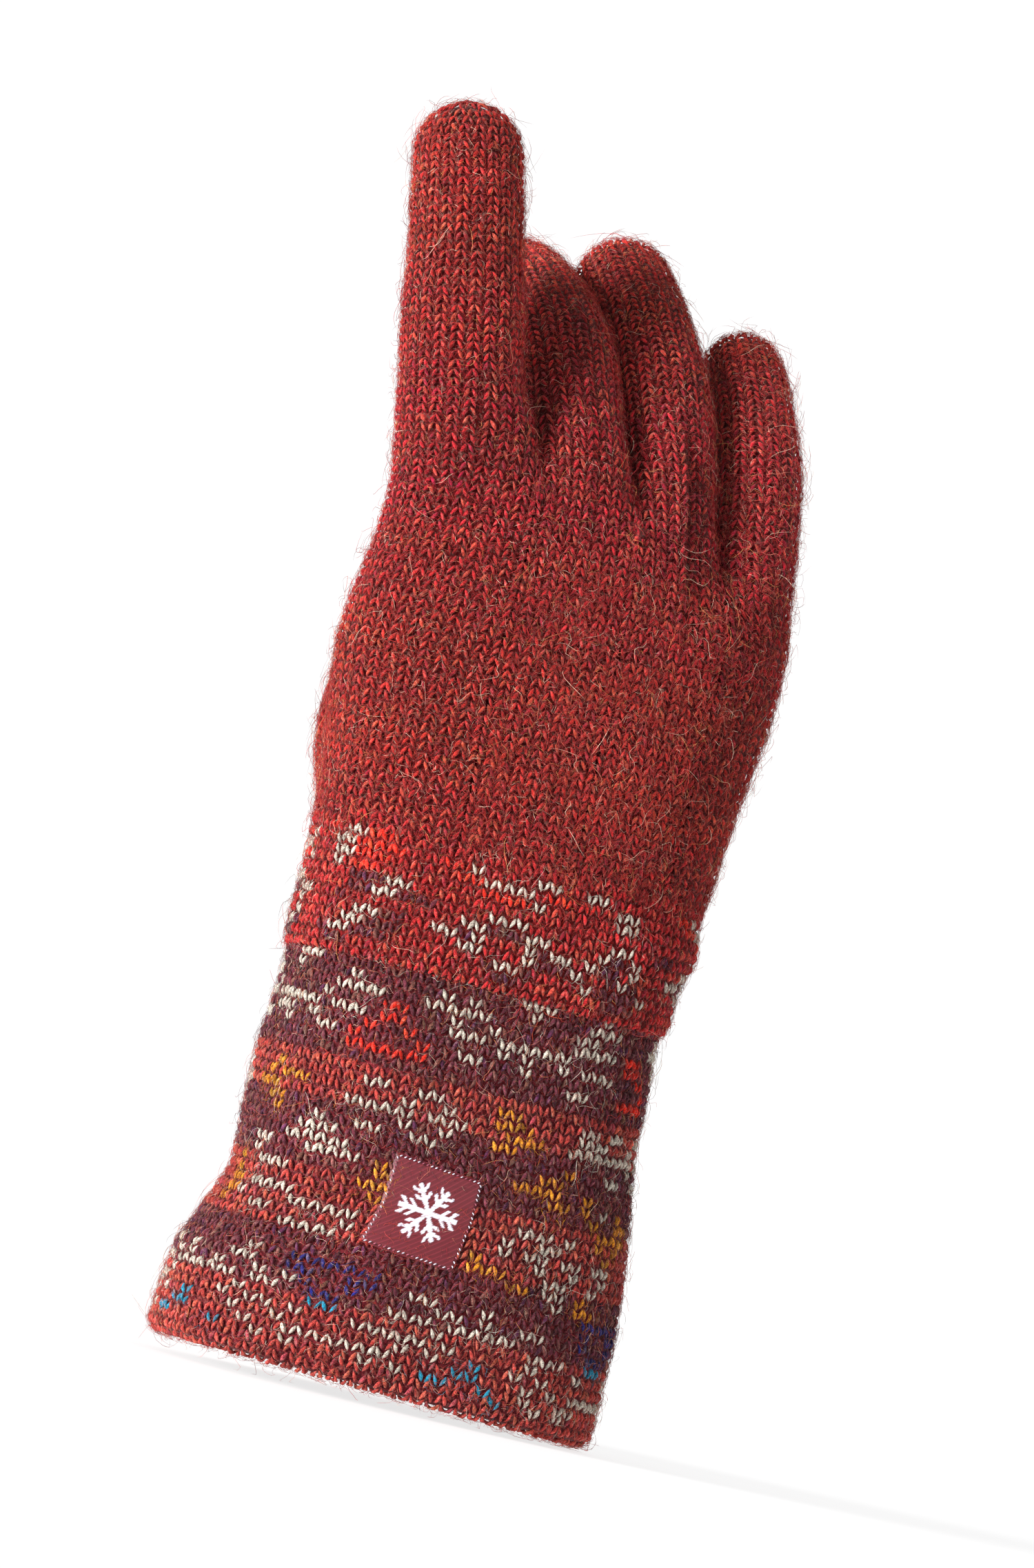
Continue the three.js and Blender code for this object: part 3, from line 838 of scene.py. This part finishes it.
def make_hand():
    rows = hand_rows()
    half = len(rows) // 2
    # Side, part, rows, number of down fibres under each finger, and seed.
    parts = (
        ("back", "lower", rows[:half], 2600, 50),
        ("back", "upper", rows[half:], 2600, 54),
        ("palm", "lower", rows[:half], 2000, 60),
        ("palm", "upper", rows[half:], 2000, 64),
    )
    for name, part, heights, down, seed in parts:
        cloth = Cloth()
        for number, finger in enumerate(FINGER_TUBES.values()):
            first = finger.left / 2 + (finger.back + finger.right if name == "palm" else 0)
            knit_hand_part(cloth, finger, first, heights, down, seed + number)
        first_piece = (name, part) == ("back", "lower")
        if first_piece:
            # A dark sheet across the inside of the hand, at a fifth of the red: painted shade where the gaps
            # between the fingers' columns look in.
            around, up = np.linspace(0, 1, 73), np.linspace(BAND_TOP - 2 * MM, CROTCH_Z - 24 * MM, 22)
            backing(cloth, shade_sheet_surface, around, up, SHADE_SHEET_DEPTH, YARNS["r"])
        piece = cloth.build(f"hand_{name}_{part}", WOOL)
        if first_piece:
            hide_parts("hand_tube")
        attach(piece, "hand_and_cuff")


def knit_hand_part(cloth, finger, first, heights, down, seed):
    """The columns of the hand under one finger, over the rows given."""
    k, t = lattice(finger.back, heights)
    u = (k + 0.5 + first) / finger.total
    keep = ~inside_thumb(finger.surface(u, t), -0.5 * MM)
    u, t = u[keep], t[keep]
    reds = dyed_red(t)
    knit(cloth, finger.surface, u, np.full(len(u), 1 / finger.total), t, HAND_COURSE, reds)
    edges = np.linspace(first, first + finger.back, 2 * finger.back + 1) / finger.total
    backed = np.linspace(heights[0] - 0.3 * MM, heights[-1] + HAND_COURSE, len(heights) + 2)
    # The walls behind the hand's stitches, darkened in backing() as painted shade.
    backing(cloth, finger.surface, edges, backed, WALL_DEPTH, YARNS["r"])
    fuzz(cloth, finger.surface, (u, t), reds, down, down // 12, seed)


def tube_stitches(tube, rows, length_to_tip, tip_radius):
    """Stitches of a digit, fewer in each row as the tip closes."""
    us, widths, ts = [], [], []
    for t in rows:
        over = max(0.0, (t - length_to_tip) / tip_radius)
        share = math.sqrt(max(0.02, 1 - min(over, 1.0) ** TIP_ROUNDNESS))
        count = max(6, int(round(tube.total * min(1.0, share * 1.05))))
        us.append((np.arange(count) + 0.5) / count)
        widths.append(np.full(count, 1 / count))
        ts.append(np.full(count, t))
    return np.concatenate(us), np.concatenate(widths), np.concatenate(ts)


def joint_named(name):
    return next(j for j in frame["joints"] if j["name"] == name)


def nearest(line, point):
    return int(np.argmin(np.linalg.norm(line.points - point, axis=1)))


def make_digit(tube, name, start_t, root_t, joint_names, extra_nodes, seed, keep=None):
    """The two pieces of a digit, split midway between its root joint and its far joint."""
    line = tube.line
    joints = [joint_named(j) for j in joint_names]
    pivots = [np.array(j["pos_m"]) for j in joints]
    split = root_t + 0.5 * sum(float(line.at[nearest(line, pivot)]) for pivot in pivots)
    split = start_t + round((split - start_t) / FINGER_COURSE) * FINGER_COURSE
    end_t = root_t + line.length + tube.radii[1] * 0.98
    spans = (("root", start_t, split, 5000, 8.0 * MM), ("far", split, end_t, 7000, 10.0 * MM))
    for number, (part, low, high, down, half) in enumerate(spans):
        cloth = knit_digit(tube, root_t, low, high, down, seed + number, keep)
        piece = cloth.build(f"{name}_{part}_knit", WOOL)
        base = [f"{name}_base"] if part == "root" else [f"{name}_end", f"{name}_tip_closure"]
        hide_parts(*base, *(extra_nodes if part == "root" else ()))
        pivot, joint = pivots[number], joints[number]
        reach = line.tangents[nearest(line, pivot)] * half
        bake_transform(piece)


def knit_digit(tube, root_t, low, high, down, seed, keep):
    """The knitting of a digit from one height to another, with its lining and its fibres."""
    cloth = Cloth()
    tip_t = root_t + tube.line.length
    u, width, t = tube_stitches(tube, courses(low, high, FINGER_COURSE), tip_t, tube.radii[1])
    if keep is not None:
        kept = keep(tube.surface(u, t))
        u, width, t = u[kept], width[kept], t[kept]
    reds = dyed_red(t if root_t else t + 120 * MM)
    knit(cloth, tube.surface, u, width, t, FINGER_COURSE, reds)
    straight = np.arange(low - 0.2 * MM, min(high, tip_t), 1.5 * MM)
    dome = np.linspace(max(low, tip_t), high, 8) if high > tip_t else [high]
    around = np.linspace(0, 1, 2 * tube.total + 1)
    # The walls behind the digit's stitches, darkened in backing() as painted shade.
    backing(cloth, tube.surface, around, np.append(straight, dome), WALL_DEPTH, YARNS["r"])
    fuzz(cloth, tube.surface, (u, t), reds, down, down // 14, seed)
    return cloth


def outside_palm(points):
    z = points[:, 2]
    a, b, middle = (np.interp(z, STATIONS[:, 0], STATIONS[:, i]) for i in (1, 2, 3))
    across = np.abs(points[:, 0] - middle) / a
    return across**SQUARENESS + (np.abs(points[:, 1]) / b) ** SQUARENESS > 0.93


def make_digits():
    for number, (name, tube) in enumerate(FINGER_TUBES.items()):
        joints = (f"{name}_knuckle", f"{name}_middle")
        make_digit(tube, name, HAND_TOP, tube.root_t, joints, (), 70 + 2 * number)
    joints = ("thumb_root", "thumb_end_joint")
    make_digit(THUMB_TUBE, "thumb", 14 * MM, 0.0, joints, ("thumb_gusset",), 90, keep=outside_palm)


# ---- the label

LABEL_SIZE = (18.4 * MM, 19.0 * MM)
LABEL_CENTRE = (-8.2 * MM, 38 * MM)
LABEL_TURN = math.radians(-5.5)


def label_point(p, q, raise_by):
    """A point of the label. p and q run -0.5..0.5 across and up it."""
    x = p * LABEL_SIZE[0] * math.cos(LABEL_TURN) - q * LABEL_SIZE[1] * math.sin(LABEL_TURN) + LABEL_CENTRE[0]
    z = p * LABEL_SIZE[0] * math.sin(LABEL_TURN) + q * LABEL_SIZE[1] * math.cos(LABEL_TURN) + LABEL_CENTRE[1]
    shares = np.linspace(0.02, 0.48, 500)
    grid = section_point(shares, np.full(500, LABEL_CENTRE[1]))[:, 0]
    u = np.interp(x, grid, shares)
    t = z + math.pi * HEM_RADIUS - HEM_RADIUS
    return cuff_surface(u, t) + normal_at(cuff_surface, u, t) * np.asarray(raise_by)[..., None]


def snowflake(p, q):
    """Six arms with two pairs of side branches each."""
    radius, angle = np.hypot(p, q), np.arctan2(q, p)
    sector = np.abs((angle + math.pi / 6) % (math.pi / 3) - math.pi / 6)
    along, off = radius * np.cos(sector), radius * np.sin(sector)
    arm = (off < 0.022) & (along < 0.33)
    branch = np.zeros_like(arm)
    for root in (0.13, 0.22):
        branch |= (np.abs(off - (along - root) * 1.1) < 0.024) & (off < 0.09) & (along > root)
    return arm | branch


def label_material():
    material = bpy.data.materials.new("woven_label")
    material.use_nodes = True
    tree = material.node_tree
    shader = tree.nodes["Principled BSDF"]
    yarn = node(tree, "ShaderNodeVertexColor", layer_name="yarn")
    tree.links.new(yarn.outputs["Color"], shader.inputs["Base Color"])
    place = node(tree, "ShaderNodeTexCoord")
    grain = node(tree, "ShaderNodeTexNoise")
    grain.inputs["Scale"].default_value = 4000.0
    tree.links.new(place.outputs["Object"], grain.inputs["Vector"])
    raised = node(tree, "ShaderNodeBump")
    raised.inputs["Strength"].default_value = 0.3
    raised.inputs["Distance"].default_value = 0.0001
    tree.links.new(grain.outputs["Fac"], raised.inputs["Height"])
    tree.links.new(raised.outputs["Normal"], shader.inputs["Normal"])
    shader.inputs["Roughness"].default_value = 0.5
    shader.inputs["Sheen Weight"].default_value = 0.05
    return material


def make_label():
    cloth = Cloth()
    across, up = 74, 76
    p, q = np.meshgrid(np.linspace(-0.5, 0.5, across), np.linspace(-0.5, 0.5, up), indexing="ij")
    satin = ((np.arange(across)[:, None] * 2 + np.arange(up)[None] * 3) % 5 == 0)
    mark = snowflake(p, q * LABEL_SIZE[1] / LABEL_SIZE[0])
    rim = np.maximum(np.abs(p), np.abs(q))
    height = 0.75 * MM + 0.07 * MM * satin + 0.10 * MM * mark - 0.5 * MM * smooth((rim - 0.46) / 0.04)
    # The satin lines are painted lighter on the red ground, a painted highlight on the raised twill; in the
    # white mark they are darker.
    ground = np.where(satin[..., None], linear("7c222e"), linear("62141f"))
    white = np.where(satin[..., None], linear("c9c4d8"), linear("ece9f2"))
    colours = np.where(mark[..., None], white, ground).reshape(-1, 3)
    quads = grid_faces(across, up)
    cloth.add(label_point(p, q, height).reshape(-1, 3), quads, [], colours)
    cloth.add(label_point(p, q, height * 0 - 0.1 * MM).reshape(-1, 3), quads[:, ::-1], [], colours)
    piece = cloth.build("woven_label_patch", label_material())
    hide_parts("woven_label")
    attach(piece, "hand_and_cuff")


def make_label_stitches():
    thread = wool_material("label_thread", contrast=0.2)
    sides = {
        "top": ((-0.47, 0.475), (0.47, 0.475)), "bottom": ((-0.47, -0.475), (0.47, -0.475)),
        "left": ((-0.475, -0.47), (-0.475, 0.47)), "right": ((0.475, -0.47), (0.475, 0.47)),
    }
    count = 19
    share = (np.arange(count) + 0.5) / count
    for side, ends in sides.items():
        cloth = Cloth()
        start, end = np.array(ends)
        middle = start[None] + share[:, None] * (end - start)[None]
        run = (end - start) / np.linalg.norm(end - start)
        lean = np.array([run[0] - 0.9 * run[1], run[1] + 0.9 * run[0]]) * 0.5
        steps = np.linspace(-1, 1, 5)
        pq = middle[:, None] + lean[None, None] * steps[None, :, None] * 0.027
        lift = (0.55 + 0.42 * np.cos(steps * math.pi / 2)) * MM
        points = label_point(pq[..., 0], pq[..., 1], np.broadcast_to(lift, pq.shape[:2]))
        normals = np.broadcast_to(unit(np.array([-0.2, -1.0, 0.1])), points.shape)
        radii = np.broadcast_to(0.135 * MM * np.array([0.6, 1, 1, 1, 0.6]), pq.shape[:2])
        tints = np.where(rng.random(count)[:, None] < 0.3, linear("a8586a"), linear("dcd6e2"))
        cloth.add_strands(swept(points, normals, radii), tints)
        piece = cloth.build(f"label_edge_{side}", thread)
        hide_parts(f"label_stitch_{side}")
        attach(piece, "hand_and_cuff")


def make_wrist_seam():
    """The linking row that sews the inner layer down: one slanting loop for each wale."""

    def seam_surface(u, t):
        z = SEAM_Z + t
        return outset(section_point(u, z), u, z, np.full(np.shape(u), -SEAM_INSET))

    cloth = Cloth()
    count = CUFF_WALES
    u = (np.arange(count) + 0.5) / count
    steps = np.linspace(0, 1, 6)[None]
    us = u[:, None] + (steps - 0.5) * 1.6 / count
    ts = np.broadcast_to(1.4 * MM + steps * 2.4 * MM, us.shape)
    points = seam_surface(us, ts)
    inward = -(points * np.array([1, 1, 0])) / np.linalg.norm(points[..., :2], axis=-1)[..., None]
    points = points + inward * (0.5 * MM * np.sin(math.pi * steps))[..., None]
    radii = 0.42 * MM * (0.5 + 0.5 * np.sin(math.pi * steps)) * np.ones((count, 1))
    cloth.add_strands(swept(points, inward, radii), heathered(np.tile(YARNS["r"], (count, 1))))
    piece = cloth.build("wrist_linking_row", WOOL)
    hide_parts("wrist_seam")
    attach(piece, "hand_and_cuff")


# ---- floor, light and camera


def make_stage():
    material = bpy.data.materials.new("pale_floor")
    material.use_nodes = True
    shader = material.node_tree.nodes["Principled BSDF"]
    shader.inputs["Base Color"].default_value = (0.3, 0.3, 0.3, 1)
    shader.inputs["Roughness"].default_value = 0.9
    shader.inputs["Emission Color"].default_value = (1, 1, 1, 1)
    shader.inputs["Emission Strength"].default_value = 0.76
    mesh = bpy.data.meshes.new("floor")
    size = 30.0
    corners = [(-size, -size, 0), (size, -size, 0), (size, size, 0), (-size, size, 0)]
    mesh.from_pydata(corners, [], [(0, 1, 2, 3)])
    mesh.materials.append(material)
    floor = bpy.data.objects.new("floor", mesh)
    floor.location.z = -0.0006
    bpy.context.scene.collection.objects.link(floor)


def make_lights():
    """One soft key from the thumb side, and a pale studio that is brightest near the horizon."""
    key = bpy.data.lights.new("key", "SUN")
    key.energy, key.angle = 5.7, math.radians(20)
    lamp = bpy.data.objects.new("key", key)
    azimuth, elevation = math.radians(-68), math.radians(9)
    lamp.location = Vector((math.sin(azimuth), -math.cos(azimuth), math.tan(elevation)))
    lamp.rotation_euler = lamp.location.to_track_quat("Z", "Y").to_euler()
    bpy.context.scene.collection.objects.link(lamp)
    world = bpy.data.worlds.new("studio")
    bpy.context.scene.world = world
    world.use_nodes = True
    tree = world.node_tree
    place = node(tree, "ShaderNodeTexCoord")
    height = node(tree, "ShaderNodeSeparateXYZ")
    tree.links.new(place.outputs["Generated"], height.inputs[0])
    strength = remap(tree, height.outputs["Z"], (0.1, 0.3), (1.02, 0.48))
    tree.links.new(strength, tree.nodes["Background"].inputs["Strength"])
    tree.nodes["Background"].inputs["Color"].default_value = (1, 1, 1, 1)
    bpy.context.scene.view_settings.view_transform = "Standard"


def make_camera():
    azimuth, elevation, roll = (math.radians(v) for v in (CAMERA_AZIMUTH, CAMERA_ELEVATION, CAMERA_ROLL))
    level = math.cos(elevation)
    towards = Vector((math.sin(azimuth) * level, -math.cos(azimuth) * level, math.sin(elevation)))
    right = Vector((math.cos(azimuth), math.sin(azimuth), 0))
    up = towards.cross(right)
    target = right * (-0.84 * MM) + Vector((0, 0, 125.4 * MM))
    turned_right = right * math.cos(roll) + up * math.sin(roll)
    turned_up = up * math.cos(roll) - right * math.sin(roll)
    camera_data = bpy.data.cameras.new("camera")
    camera_data.sensor_width = 36
    camera_data.lens = 36 * CAMERA_DISTANCE / FRAME_HEIGHT
    camera = bpy.data.objects.new("camera", camera_data)
    turn = Matrix((turned_right, turned_up, towards)).transposed().to_4x4()
    camera.matrix_world = Matrix.Translation(target + towards * CAMERA_DISTANCE) @ turn
    bpy.context.scene.collection.objects.link(camera)
    bpy.context.scene.camera = camera


make_stage()
make_lights()
make_camera()
make_cuff()
make_band()
make_hand()
make_digits()
make_label()
make_label_stitches()
make_wrist_seam()
